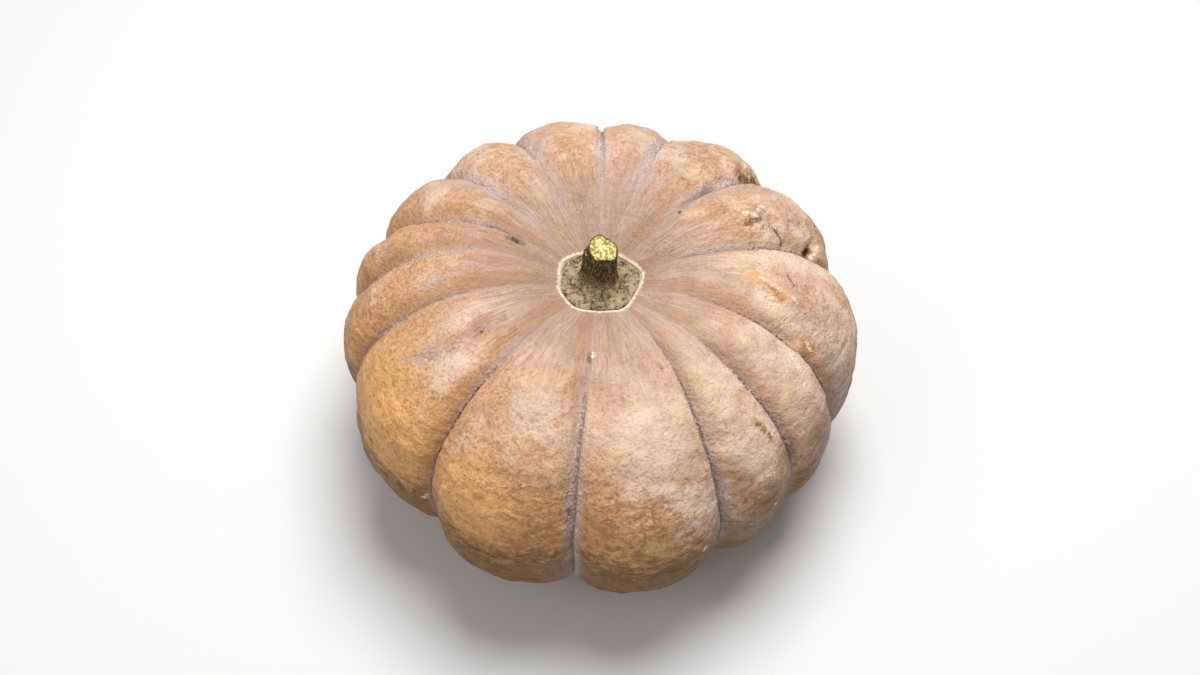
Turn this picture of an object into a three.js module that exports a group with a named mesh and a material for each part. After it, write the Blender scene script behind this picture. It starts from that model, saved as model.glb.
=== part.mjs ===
// A muscat pumpkin with the stub of its stalk. Millimetres, +Z up, lying on its base at z = 0.
//
// The fruit is one solid: a flattened globe of fourteen unequal ribs. Narrow seams part the ribs and
// run from the hollow round the stalk, over the shoulder and the waist, to the dimple underneath.
// The undersides of the ribs are flat where the fruit has lain.
// The stalk is a second solid: a corky foot, let into a shallow seat in the rind, that sweeps up into
// a short ridged stub, leaning a little and cut off slantwise.
import * as THREE from "three";

const { degToRad, lerp, smoothstep } = THREE.MathUtils;
const FULL_TURN = 360;

// Driving dimensions of the fruit. Shares are shares of RADIUS, and heights are above the waist.
const RADIUS = 165; // axis to the crest of an average rib, at the waist
const CREST = { reach: 1.0, above: 0.6, below: 0.66, roundness: 2.3, hollow: 0.19 };
const SEAM = { reach: 0.935, above: 0.57, below: 0.62, roundness: 2.25, hollow: 0.165 };
const HOLLOW_SPREAD = 0.345; // of the hollow round the stalk
const DIMPLE = { depth: 0.2, spread: 0.38 }; // under the fruit
const UNPARTED = 0.72; // where no seam bites, how near the skin is to the crests
const ARCH = { squareness: 2.3, fullness: 0.72 }; // the section of a rib from seam to seam
const SEAM_START = { before: 0.04, after: 0.24 }; // how far a seam takes to open to its full depth
const SEAM_TRACE = { depth: 0.3, from: 0.16, to: 0.4 }; // left of a seam between there and the stalk
const SEAM_END = 0.06; // where a seam fades out in the dimple
const LEANING = { from: 0.95, to: 0.2 }; // where a seam begins to lean and has done leaning
const SWELLING = { from: 0.3, to: 0.9 }; // where a rib begins to differ in size and differs in full
const CREASE = { width: 0.1, fade: 0.1 }; // of a groove along a rib's back
const LYING_LEVEL = -0.545; // the plane that the fruit has lain on
const RINGS = 46; // rings of vertices from the middle of the seat to the middle of the dimple
const FIRST_LATITUDE = 77; // of the first ring outside the lip, in degrees above the waist

// Driving dimensions of the stalk and of its seat in the rind, in millimetres.
const SEAT_LEVEL = 70; // above the waist
const SEAT_DEPTH = 2;
const WALL_SPLAY = 0.1; // of the seat's wall
const SEAT_GAP = 0.35; // all round the foot and under it
const LIP = { width: 1.8, height: 0.5 }; // the rind's raised edge round the foot
const FOOT = { radius: 25, belowLip: 0.2 };
const STUB = { radius: 10, height: 32, lean: new THREE.Vector2(1.5, 1), slant: 26, bevel: 0.5 };
const RIDGES = { end: 0.85, gone: 0.9 }; // shares of the stub's height, up to the cut
const LEAN_POWER = 1.5; // the stub leans more and more towards its end
const SLANT_BEGINS = 0.4; // the share of the stub's height where the slant of the cut begins to show
const CORNER_WEAR = 7; // degrees that a corner is worn round, to either side

// The ribs, anticlockwise seen from above. Each starts at a seam.
// seam: where the seam crosses the waist, in degrees from +X. lean: how many degrees further round
// the seam meets the stalk. opens: the share of RADIUS where the seam begins to bite. deep: its depth
// against an average seam. swell: the rib's size against an average rib. strips: faces across it.
// crease: a shallow groove along the rib's back, with its place across the rib and its two ends.
const RIBS = [
  { seam: 264, lean: 1, opens: 0.33, deep: 1.0, swell: 1.035, strips: 10 },
  { seam: 298, lean: 5, opens: 0.2, deep: 1.1, swell: 0.995, strips: 8 },
  { seam: 319, lean: -1, opens: 0.32, deep: 0.9, swell: 0.995, strips: 6 },
  { seam: 338.5, lean: 2, opens: 0.2, deep: 1.1, swell: 1.02, strips: 10,
    crease: { across: 0.6, from: 0.62, to: 0.88, depth: 0.014 } },
  { seam: 13.5, lean: -4, opens: 0.22, deep: 1.2, swell: 1.015, strips: 8 },
  { seam: 41.5, lean: 1, opens: 0.34, deep: 1.1, swell: 1.01, strips: 8 },
  { seam: 70, lean: 0, opens: 0.2, deep: 1.1, swell: 0.975, strips: 6 },
  { seam: 89.5, lean: -1, opens: 0.26, deep: 0.85, swell: 1.01, strips: 8 },
  { seam: 114, lean: 1, opens: 0.2, deep: 1.0, swell: 1.0, strips: 6 },
  { seam: 135.5, lean: 4, opens: 0.22, deep: 1.0, swell: 1.015, strips: 6 },
  { seam: 157.5, lean: -4, opens: 0.2, deep: 1.1, swell: 1.02, strips: 6 },
  { seam: 173, lean: -4, opens: 0.56, deep: 0.75, swell: 1.025, strips: 6 },
  { seam: 191.5, lean: 0, opens: 0.2, deep: 1.0, swell: 1.02, strips: 10,
    crease: { across: 0.57, from: 0.42, to: 0.88, depth: 0.02 } },
  { seam: 228, lean: 1, opens: 0.2, deep: 1.1, swell: 1.04, strips: 10 },
];

// Corners of the foot's edge, of the stub and of its cut end: degrees from +X, and shares of the
// foot's or the stub's radius.
const FOOT_CORNERS = [
  [10, 1.05], [47, 0.81], [92, 0.84], [132, 0.88], [152, 1.05], [200, 1.04], [234, 1.06], [266, 0.96],
  [303, 1.08], [344, 0.97],
];
const STUB_CORNERS = [[8, 0.98], [62, 0.8], [112, 0.96], [179, 1.24], [234, 0.88], [316, 1.12]];
const CUT_CORNERS = [[11, 0.96], [105, 0.86], [150, 0.9], [184, 0.86], [236, 0.84], [321, 1.1]];

// The way along the stalk's skin from the cut down to the foot's edge: how far out it is, from the
// stub's side to the foot's edge, and how high, from the foot to the cut.
const STALK_SWEEP = new THREE.SplineCurve([
  new THREE.Vector2(0, 1),
  new THREE.Vector2(0.004, 0.93),
  new THREE.Vector2(0.01, 0.87),
  new THREE.Vector2(0.015, 0.8),
  new THREE.Vector2(0.035, 0.5),
  new THREE.Vector2(0.09, 0.22),
  new THREE.Vector2(0.24, 0.07),
  new THREE.Vector2(0.55, 0.02),
  new THREE.Vector2(0.84, 0.015),
  new THREE.Vector2(1, 0),
]);
const CUT_SHARES = [0, 0.5, 0.93]; // of the stub's radius, for the rings on the cut
const UNDERSIDE_SHARES = [0.99, 0.5, 0]; // of the foot's radius, for the rings underneath
const SWEEP_RINGS = 27;
const STALK_STRIPS = 48;
const STALK_RINGS = CUT_SHARES.length + SWEEP_RINGS + UNDERSIDE_SHARES.length;

// A closed skin of rings of vertices, each put where place(column, ring) says. Ring 0 is the middle
// of the top, the last ring is the middle of the bottom, and columns run anticlockwise from above.
function closedSkin(columns, rings, place) {
  const geometry = new THREE.SphereGeometry(1, columns, rings);
  const position = geometry.getAttribute("position");
  for (let ring = 0; ring <= rings; ring++) {
    for (let column = 0; column <= columns; column++) {
      const { x, y, z } = place(column % columns, ring);
      position.setXYZ(ring * (columns + 1) + column, x, y, z);
    }
  }
  geometry.computeVertexNormals();
  return geometry;
}

// The point at a distance from the axis, a direction in degrees and a height.
function around(distance, degrees, height) {
  const angle = degToRad(degrees);
  return new THREE.Vector3(distance * Math.cos(angle), distance * Math.sin(angle), height);
}

// The distance from the axis to a straight-sided outline, in shares of its mean radius.
function straightSided(corners, degrees) {
  const turned = (from, to) => THREE.MathUtils.euclideanModulo(to - from, FULL_TURN);
  const next = corners.findIndex(([at]) => at > THREE.MathUtils.euclideanModulo(degrees, FULL_TURN));
  const [startAt, start] = corners.at(next < 0 ? -1 : next - 1);
  const [endAt, end] = corners[Math.max(next, 0)];
  const past = degToRad(turned(startAt, degrees));
  const span = degToRad(turned(startAt, endAt));
  return (start * end * Math.sin(span)) / (start * Math.sin(past) + end * Math.sin(span - past));
}

// The same outline with its corners worn round.
function worn(corners, degrees) {
  const steps = [-CORNER_WEAR, 0, CORNER_WEAR];
  const samples = steps.map((step) => straightSided(corners, degrees + step));
  return samples.reduce((sum, sample) => sum + sample, 0) / samples.length;
}

// One meridian of the fruit at a latitude in degrees: x is its distance from the axis and y its
// height, both in shares of RADIUS.
function meridian(shape, latitude) {
  const rise = Math.sin(degToRad(Math.abs(latitude))) ** (2 / shape.roundness);
  const out = shape.reach * Math.cos(degToRad(latitude)) ** (2 / shape.roundness);
  const hollow = shape.hollow * Math.exp(-((out / HOLLOW_SPREAD) ** 2));
  const dimple = DIMPLE.depth * Math.exp(-((out / DIMPLE.spread) ** 2));
  const height = latitude > 0 ? shape.above * rise - hollow : dimple - shape.below * rise;
  return new THREE.Vector2(out, height);
}

// How far a rib stands out between its two seams: 0 at a seam and 1 along its crest.
function arch(across) {
  return (1 - Math.abs(2 * across - 1) ** ARCH.squareness) ** ARCH.fullness;
}

// How open a seam is at a distance from the axis. Above, a trace of it reaches the stalk, and
// below, it fades out in the dimple.
function openness(rib, out, isAbove) {
  const trace = SEAM_TRACE.depth * smoothstep(out, SEAM_TRACE.from, SEAM_TRACE.to);
  const opens = isAbove ? rib.opens : SEAM_END;
  const opening = smoothstep(out, opens - SEAM_START.before, opens + SEAM_START.after);
  return rib.deep * Math.max(trace, opening);
}

// The groove along a rib's back, fading out at both its ends.
function creaseDepth(crease, across, out) {
  const begins = smoothstep(out, crease.from, crease.from + CREASE.fade);
  const ends = smoothstep(out, crease.to - CREASE.fade, crease.to);
  const section = Math.exp(-(((across - crease.across) / CREASE.width) ** 2));
  return crease.depth * begins * (1 - ends) * section;
}

// Each column of vertices lies on a rib, at a place across it. They crowd together at the seams.
const columns = RIBS.flatMap((rib, index) =>
  Array.from({ length: rib.strips }, (_, strip) => ({
    rib,
    nextRib: RIBS[(index + 1) % RIBS.length],
    across: (1 - Math.cos((Math.PI * strip) / rib.strips)) / 2,
  })),
);

// The seat of the stalk: rings of its floor, wall and lip, as distances outside the foot's edge.
const seatRings = [
  { outside: SEAT_GAP, level: SEAT_LEVEL },
  { outside: SEAT_GAP + WALL_SPLAY, level: SEAT_LEVEL + SEAT_DEPTH },
  { outside: SEAT_GAP + LIP.width / 2, level: SEAT_LEVEL + SEAT_DEPTH + LIP.height },
  { outside: SEAT_GAP + LIP.width, level: SEAT_LEVEL + SEAT_DEPTH + LIP.height / 2 },
];

function fruitPoint(column, ring) {
  const { rib, nextRib, across } = columns[column];
  if (ring === 0) return around(0, 0, SEAT_LEVEL);
  const firstOpenRing = seatRings.length + 1;
  const way = Math.max(ring - firstOpenRing, 0) / (RINGS - firstOpenRing);
  const latitude = lerp(FIRST_LATITUDE, -90, way);
  const valley = meridian(SEAM, latitude);
  const out = valley.x;

  const width = THREE.MathUtils.euclideanModulo(nextRib.seam - rib.seam, FULL_TURN);
  const leaning = latitude > 0 ? 1 - smoothstep(out, LEANING.to, LEANING.from) : 0;
  const direction = rib.seam + width * across + leaning * lerp(rib.lean, nextRib.lean, across);
  if (ring < firstOpenRing) {
    const { outside, level } = seatRings[ring - 1];
    return around(FOOT.radius * worn(FOOT_CORNERS, direction) + outside, direction, level);
  }

  // Where no seam bites, the skin lies between the valleys and the crests, nearer the crests.
  const crest = meridian(CREST, latitude);
  const unparted = valley.clone().lerp(crest, UNPARTED);
  const openHere = openness(rib, out, latitude > 0);
  const openThere = openness(nextRib, out, latitude > 0);
  const bite = lerp(openHere, openThere, smoothstep(across, 0, 1));
  const low = unparted.clone().lerp(valley, bite);
  const high = unparted.clone().lerp(crest, Math.min(bite, 1));
  const point = low.lerp(high, arch(across));
  const swelling = arch(across) * smoothstep(out, SWELLING.from, SWELLING.to);
  point.x *= lerp(1, rib.swell, swelling);
  if (rib.crease && latitude > 0) point.addScalar(-creaseDepth(rib.crease, across, out));
  return around(RADIUS * point.x, direction, RADIUS * Math.max(point.y, LYING_LEVEL));
}

// The cut end, the sides and the top of the foot, and then the foot's edge and underside.
function stalkPoint(column, ring) {
  const direction = (FULL_TURN * column) / STALK_STRIPS;
  const foot = FOOT.radius * worn(FOOT_CORNERS, direction);
  const sweepRing = ring - CUT_SHARES.length;
  if (sweepRing > SWEEP_RINGS) {
    const share = UNDERSIDE_SHARES[sweepRing - SWEEP_RINGS - 1];
    return around(foot * share, direction, SEAT_LEVEL + SEAT_GAP);
  }

  const sweep = STALK_SWEEP.getPoint(Math.max(sweepRing, 0) / SWEEP_RINGS);
  const corners = [STUB_CORNERS, CUT_CORNERS].map((outline) => worn(outline, direction));
  const stub = STUB.radius * lerp(...corners, smoothstep(sweep.y, RIDGES.end, RIDGES.gone));
  const point = around(lerp(stub, foot, sweep.x) * (CUT_SHARES[ring] ?? 1), direction, 0);
  const footTop = SEAT_LEVEL + SEAT_DEPTH - FOOT.belowLip;
  const slant = Math.tan(degToRad(STUB.slant)) * smoothstep(sweep.y, SLANT_BEGINS, 1);
  const bevel = sweepRing === 0 ? STUB.bevel : 0;
  point.z = lerp(footTop, SEAT_LEVEL + STUB.height, sweep.y) + slant * point.y - bevel;
  point.x += STUB.lean.x * sweep.y ** LEAN_POWER;
  point.y += STUB.lean.y * sweep.y ** LEAN_POWER;
  return point;
}

// The fruit: orange-tan rind under a pale, dusty bloom.
function makeFruit() {
  const rind = new THREE.MeshStandardMaterial({ color: 0xc8966e, roughness: 0.6, metalness: 0 });
  const fruit = new THREE.Mesh(closedSkin(columns.length, RINGS, fruitPoint), rind);
  fruit.name = "fruit";
  return fruit;
}

// The stalk: dark, rough and corky.
function makeStalk() {
  const cork = new THREE.MeshStandardMaterial({ color: 0x5d4f38, roughness: 0.9, metalness: 0 });
  const stalk = new THREE.Mesh(closedSkin(STALK_STRIPS, STALK_RINGS, stalkPoint), cork);
  stalk.name = "stalk";
  return stalk;
}

// The origin is the middle of the base of the box round the pumpkin.
const group = new THREE.Group();
group.add(makeFruit(), makeStalk());
const box = new THREE.Box3().setFromObject(group);
const middle = box.getCenter(new THREE.Vector3());
group.position.set(-middle.x, -middle.y, -box.min.z);

export default group;
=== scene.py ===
"""A muscat pumpkin: the skin, the stalk, the floor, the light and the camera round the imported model."""

import math

import bmesh
import bpy
import numpy as np
from bpy.props import FloatProperty, FloatVectorProperty, IntProperty, PointerProperty
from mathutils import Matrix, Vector, kdtree


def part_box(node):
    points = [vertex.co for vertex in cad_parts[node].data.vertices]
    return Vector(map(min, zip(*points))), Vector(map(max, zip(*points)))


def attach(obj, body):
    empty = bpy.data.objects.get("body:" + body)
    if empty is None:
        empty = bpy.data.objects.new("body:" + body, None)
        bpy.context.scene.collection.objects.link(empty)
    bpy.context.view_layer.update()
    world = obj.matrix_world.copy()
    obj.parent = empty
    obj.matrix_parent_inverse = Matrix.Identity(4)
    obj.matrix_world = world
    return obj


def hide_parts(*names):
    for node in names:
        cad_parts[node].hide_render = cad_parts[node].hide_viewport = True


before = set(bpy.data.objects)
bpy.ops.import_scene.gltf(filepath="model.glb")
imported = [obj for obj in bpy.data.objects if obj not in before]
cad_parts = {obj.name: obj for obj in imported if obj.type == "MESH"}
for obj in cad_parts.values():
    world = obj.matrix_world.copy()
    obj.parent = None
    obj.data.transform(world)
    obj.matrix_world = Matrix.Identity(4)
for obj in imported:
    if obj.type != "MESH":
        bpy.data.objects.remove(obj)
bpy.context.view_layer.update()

bl_info = {
    "name": "Muscat pumpkin",
    "version": (1, 0, 0),
    "blender": (4, 5, 0),
    "location": "3D View > Sidebar > Pumpkin",
    "description": "Finishes a muscat pumpkin and its stalk, and sets a plain stage for it",
    "category": "Object",
}

MM = 0.001
FRUIT = "fruit"
STALK = "stalk"
WAIST = 0.0899  # height of the waist above the ground
WAIST_DEGREE = 2.9 * MM  # the length of one degree round the waist
FRONT = 270  # the direction of the front, in degrees round the core
MAP_EDGE = 70  # the seam where the map that runs round the fruit begins
HUB_EDGE = 0.036  # how far from the core the seams begin
CORE_REACH = 20 * MM  # the core is no further than this from the middle of the fruit's box
LEAST_CREASE, FULL_CREASE, LEAST_SEAM = 0.1, 0.9, 0.7  # how sharply the skin folds there, in radians
EDGE_PLACE, EDGE_WIDTH = 3 * MM, 2.2 * MM  # the rounded edges on both sides of a seam's slit
CUT_SLANT = math.radians(26)  # how far the cut end of the stalk leans towards the front
CUT_REACH = 16 * MM  # how far down the stub the cut end can reach


# ---- sizes and colours


def colour(name, description, default):
    return FloatVectorProperty(
        name=name, description=description, default=default, size=3, subtype="COLOR", min=0, max=1
    )


def length(name, description, default):
    return FloatProperty(
        name=name, description=description, default=default, subtype="DISTANCE", unit="LENGTH", precision=5
    )


class RindSettings(bpy.types.PropertyGroup):
    """Sizes and colours of the fruit's skin."""

    smoothing: IntProperty(name="Smoothing", description="Subdivisions of the skin", default=2, min=1, max=3)
    seam_width: length("Seam width", "Half the width of the slit at the bottom of a seam", 1.1 * MM)
    seam_depth: length("Seam depth", "How much deeper the slit goes than the valley", 0.8 * MM)
    seam_lap: length("Seam lap", "How far one rib stands over the next at a seam", 0.9 * MM)
    lump_size: length("Lump size", "Distance between broad lumps", 36 * MM)
    lump_height: length("Lump height", "Height of the broad lumps", 5.0 * MM)
    dent_size: length("Dent size", "Distance between small dents", 14 * MM)
    dent_height: length("Dent height", "Height of the small dents", 2.6 * MM)
    knob_size: length("Knob size", "Distance between the knobs on the roughest ribs", 8 * MM)
    knob_height: length("Knob height", "Height of the knobs on the roughest ribs", 5.0 * MM)
    wrinkle_size: length("Wrinkle size", "Distance between the wrinkles that cross the ribs", 10 * MM)
    wrinkle_height: length("Wrinkle height", "Height of the wrinkles that cross the ribs", 1.3 * MM)
    tan: colour("Tan", "The rind where it is bare", (0.56, 0.285, 0.125))
    ochre: colour("Ochre", "The ripest patches", (0.78, 0.405, 0.135))
    straw: colour("Straw", "Pale yellow patches", (0.78, 0.56, 0.33))
    bloom: colour("Bloom", "The pale waxy bloom", (0.79, 0.60, 0.475))
    blush: colour("Blush", "The pinker patches of the bloom", (0.62, 0.40, 0.30))
    dust: colour("Dust", "The lilac grey dust along the seams", (0.42, 0.315, 0.29))
    chalk: colour("Chalk", "The palest grains of the dust", (0.66, 0.54, 0.48))
    slit: colour("Slit", "The bottom of the seams", (0.125, 0.072, 0.07))
    # Groove colours freckles, rays and streaks, and is also painted shade in the hollows of the wrinkles and
    # pebbles and on the far side of the seams.
    groove: colour("Groove", "The grooves of the wrinkles", (0.38, 0.18, 0.075))
    # Umber also serves as painted shade: on the lower flanks, beside the knob and the warts, and in the tuck.
    umber: colour("Umber", "The lower flanks", (0.165, 0.073, 0.012))
    mauve: colour("Mauve", "The skin round the stalk", (0.435, 0.305, 0.235))
    scar: colour("Scar", "Healed scars", (0.50, 0.20, 0.06))
    # Shine is a painted highlight: on the worn ridge, the scar and the scab, the lip of the tuck and the
    # bumps at the end of a rib.
    shine: colour("Shine", "Rubbed places on the ridges", (0.86, 0.66, 0.46))
    mould: colour("Mould", "The grey pit in a seam", (0.19, 0.185, 0.13))
    # Dark is also the painted shade at the bottom of the tuck.
    dark: colour("Dark", "Scabs and the bottoms of tucks", (0.085, 0.05, 0.03))
    cream: colour("Cream", "The bare edge round the foot of the stalk", (0.88, 0.76, 0.53))


class StalkSettings(bpy.types.PropertyGroup):
    """Sizes and colours of the stalk."""

    smoothing: IntProperty(name="Smoothing", description="Subdivisions of the stalk", default=2, min=1, max=3)
    cork_size: length("Cork size", "Distance between the lumps of the cork", 3.2 * MM)
    cork_height: length("Cork height", "Height of the lumps of the cork", 1.1 * MM)
    foot: colour("Foot", "The dry cork of the foot", (0.57, 0.43, 0.245))
    bark: colour("Bark", "The dark sides of the stub", (0.07, 0.047, 0.022))
    moss: colour("Moss", "The paler streaks up the sides of the stub", (0.30, 0.23, 0.10))
    fleck: colour("Fleck", "The flecks in the cut end", (0.26, 0.16, 0.03))
    pith: colour("Pith", "The cut end", (0.93, 0.85, 0.31))


class StageSettings(bpy.types.PropertyGroup):
    """The floor, the lights and the camera."""

    elevation: FloatProperty(
        name="Elevation",
        description="Height of the camera above the pumpkin",
        default=math.radians(57),
        subtype="ANGLE",
    )
    distance: length("Distance", "From the camera to the middle of the fruit", 1.028)
    lens: FloatProperty(name="Lens", description="Focal length", default=47.0, unit="CAMERA")
    aim_height: length("Aim height", "How far above the middle of the fruit the camera aims", 5 * MM)
    floor: colour("Floor", "The plain floor", (0.80, 0.795, 0.785))
    floor_size: length("Floor size", "Length of a side of the floor", 8.0)
    key_power: FloatProperty(name="Key power", description="Light from above", default=30.5, unit="POWER")
    fill_power: FloatProperty(name="Fill power", description="Light from the left", default=9.0, unit="POWER")
    sky: FloatProperty(name="Sky", description="Strength of the even light from all round", default=0.27)


# ---- modelling helpers


def select_only(piece):
    bpy.ops.object.select_all(action="DESELECT")
    piece.select_set(True)
    bpy.context.view_layer.objects.active = piece


def copy_of_node(node, name):
    """A piece of its own with the merged, four-sided faces of a CAD node."""
    piece = bpy.data.objects.new(name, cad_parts[node].data.copy())
    piece.data.name = name
    piece.data.materials.clear()
    bpy.context.scene.collection.objects.link(piece)
    select_only(piece)
    bpy.ops.object.mode_set(mode="EDIT")
    bpy.ops.mesh.select_all(action="SELECT")
    bpy.ops.mesh.remove_doubles(threshold=0.01 * MM)
    bpy.ops.mesh.tris_convert_to_quads(
        face_threshold=math.pi, shape_threshold=math.pi, topology_influence=1.0
    )
    bpy.ops.object.mode_set(mode="OBJECT")
    return piece


def apply_modifier(piece, kind, **settings):
    select_only(piece)
    bpy.ops.object.modifier_add(type=kind)
    modifier = piece.modifiers[-1]
    for key, value in settings.items():
        setattr(modifier, key, value)
    bpy.ops.object.modifier_apply(modifier=modifier.name)


def subdivide(piece, levels):
    apply_modifier(piece, "SUBSURF", levels=levels, render_levels=levels)


def clouds(name, size, depth):
    made = bpy.data.textures.new(name, "CLOUDS")
    made.noise_scale = size
    made.noise_depth = depth
    return made


def displace(piece, height, group, **settings):
    apply_modifier(piece, "DISPLACE", strength=height, vertex_group=group, **settings)


def points(piece, key="co"):
    """The place of each vertex, or its normal."""
    flat = np.empty(len(piece.data.vertices) * 3, np.float32)
    piece.data.vertices.foreach_get(key, flat)
    return flat.reshape(-1, 3).astype(float)


def weigh(piece, name, weights):
    """A vertex group with a weight from 0 to 1 for each vertex."""
    group = piece.vertex_groups.new(name=name)
    steps = np.round(np.clip(weights, 0, 1) * 100).astype(int)
    for step in np.unique(steps[steps > 0]):
        group.add(np.nonzero(steps == step)[0].tolist(), step / 100, "REPLACE")


def remember(piece, notes):
    """Numbers or vectors for each vertex, by name, for the materials to read."""
    for name, values in notes.items():
        values = np.asarray(values, np.float32)
        kind, key = ("FLOAT", "value") if values.ndim == 1 else ("FLOAT_VECTOR", "vector")
        piece.data.attributes.new(name, kind, "POINT").data.foreach_set(key, values.ravel())


def ramp(values, start, end):
    """0 up to start, 1 from end on, and smooth between."""
    share = np.clip((values - start) / (end - start), 0, 1)
    return share * share * (3 - 2 * share)


def bell(distance, width):
    return np.exp(-((distance / width) ** 2))


def nearest(targets, places):
    """For each place, which target is nearest and how far away it is."""
    tree = kdtree.KDTree(len(targets))
    for index, target in enumerate(targets):
        tree.insert(target, index)
    tree.balance()
    found = [tree.find(place)[1:] for place in places]
    return np.array([index for index, _ in found]), np.array([away for _, away in found])


# ---- the fruit


def core_of_fruit():
    """The middle of the seat of the stalk, where every strip of the fruit meets."""
    low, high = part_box(FRUIT)
    co = points(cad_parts[FRUIT])
    middle = (low + high) / 2
    reach = np.hypot(co[:, 0] - middle.x, co[:, 1] - middle.y)
    near = co[(reach < CORE_REACH) & (co[:, 2] > WAIST)]
    spots, counts = np.unique(near.round(6), axis=0, return_counts=True)
    return Vector(spots[counts.argmax()])


class Skin:
    """Where each vertex of the fruit lies round its core, in metres and degrees."""

    def __init__(self, piece, core):
        self.co = points(piece)
        x = self.co[:, 0] - core.x
        y = self.co[:, 1] - core.y
        self.out = np.hypot(x, y)
        self.direction = np.degrees(np.arctan2(y, x)) % 360
        self.latitude = np.degrees(np.arctan2(self.co[:, 2] - WAIST, self.out))

    def turn_from(self, direction):
        return (self.direction - direction + 180) % 360 - 180

    def spot(self, direction, latitude):
        """The place on the skin at a direction and a latitude."""
        turn = self.turn_from(direction) * math.cos(math.radians(latitude))
        return self.co[np.hypot(turn, self.latitude - latitude).argmin()]

    def patch(self, direction, latitude, wide, high):
        """1 at a place on the skin, falling off over so many degrees round it and up it."""
        turn = self.turn_from(direction) / wide
        rise = (self.latitude - latitude) / high
        return np.exp(-(turn**2) - rise**2)

    def patches(self, table):
        return sum(amount * self.patch(*place) for amount, place in table)

    def near(self, start, end, width):
        """1 along a straight line between two spots on the skin, falling off over a width."""
        start, end = self.spot(*start), self.spot(*end)
        way = end - start
        share = np.clip((self.co - start) @ way / max(way @ way, 1e-12), 0, 1)
        return bell(np.linalg.norm(self.co - start - share[:, None] * way, axis=1), width)


def mark_seams(piece, core):
    """Marks the edges at the bottom of the seams, from the stalk to the dimple, and creases them."""
    select_only(piece)
    bpy.ops.object.mode_set(mode="EDIT")
    bpy.ops.mesh.select_mode(type="EDGE")
    bpy.ops.mesh.select_all(action="DESELECT")
    mesh = bmesh.from_edit_mesh(piece.data)
    creases = mesh.edges.layers.float.new("crease_edge")
    for edge in mesh.edges:
        middle = (edge.verts[0].co + edge.verts[1].co) / 2 - core
        outward = Vector((middle.x, middle.y, 0))
        if outward.length < HUB_EDGE or len(edge.link_faces) != 2:
            continue
        along = (edge.verts[1].co - edge.verts[0].co).normalized()
        runs_round = abs(along.cross(outward.normalized()).z)
        fold = -edge.calc_face_angle_signed(0)
        if fold > LEAST_CREASE and runs_round < 0.5:
            edge[creases] = min(fold / FULL_CREASE, 1)
            edge.select = fold > LEAST_SEAM
    bmesh.update_edit_mesh(piece.data)
    bpy.ops.mesh.loop_multi_select(ring=False)
    bpy.ops.mesh.mark_seam(clear=False)
    bpy.ops.object.mode_set(mode="OBJECT")


def seam_lines(piece, skin):
    """How far each vertex is from the nearest seam, and 1 on the rib nearer the front, -1 on the other."""
    marked = list({index for edge in piece.data.edges if edge.use_seam for index in edge.vertices})
    co = points(piece)
    which, away = nearest(co[marked], co)
    from_front = abs(skin.turn_from(FRONT))
    return away, np.where(from_front < from_front[marked][which], 1, -1)


def distance_from(piece, node, least_height):
    """How far each vertex is from the part of a node above a height."""
    co = points(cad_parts[node])
    return nearest(co[co[:, 2] > least_height], points(piece))[1]


class PUMPKIN_OT_fruit(bpy.types.Operator):
    """Makes the ribbed fruit with its seams, lumps, wrinkles and scars"""

    bl_idname = "pumpkin.fruit"
    bl_label = "Fruit"

    def execute(self, context):
        rind = context.scene.pumpkin_rind
        core = core_of_fruit()
        piece = copy_of_node(FRUIT, "pumpkin_fruit")
        mark_seams(piece, core)
        subdivide(piece, rind.smoothing)
        finish_notes(piece, core)
        shape_skin(piece, core, rind)
        select_only(piece)
        bpy.ops.object.shade_smooth()
        piece.data.materials.append(rind_material(rind, Skin(piece, core)))
        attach(piece, "root")
        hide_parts(FRUIT)
        return {"FINISHED"}


def wrap_map(piece, skin, name, round_share):
    """A map that runs round the fruit and up it, in metres at the waist, for patterns that cross the ribs."""
    mesh = piece.data
    corners = np.empty(len(mesh.loops), int)
    mesh.loops.foreach_get("vertex_index", corners)
    first = np.empty(len(mesh.polygons), int)
    mesh.polygons.foreach_get("loop_start", first)
    turned = skin.turn_from(MAP_EDGE)[corners] % 360
    high = np.maximum.reduceat(turned, first)
    low = np.minimum.reduceat(turned, first)
    count = np.diff(np.append(first, len(corners)))
    wraps = np.repeat(high - low > 180, count)
    turned[wraps & (turned < 180)] += 360
    uv = np.stack([turned * round_share, skin.latitude[corners]], 1) * WAIST_DEGREE
    layer = mesh.uv_layers.new(name=name)
    layer.uv.foreach_set("vector", uv.astype(np.float32).ravel())


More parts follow.
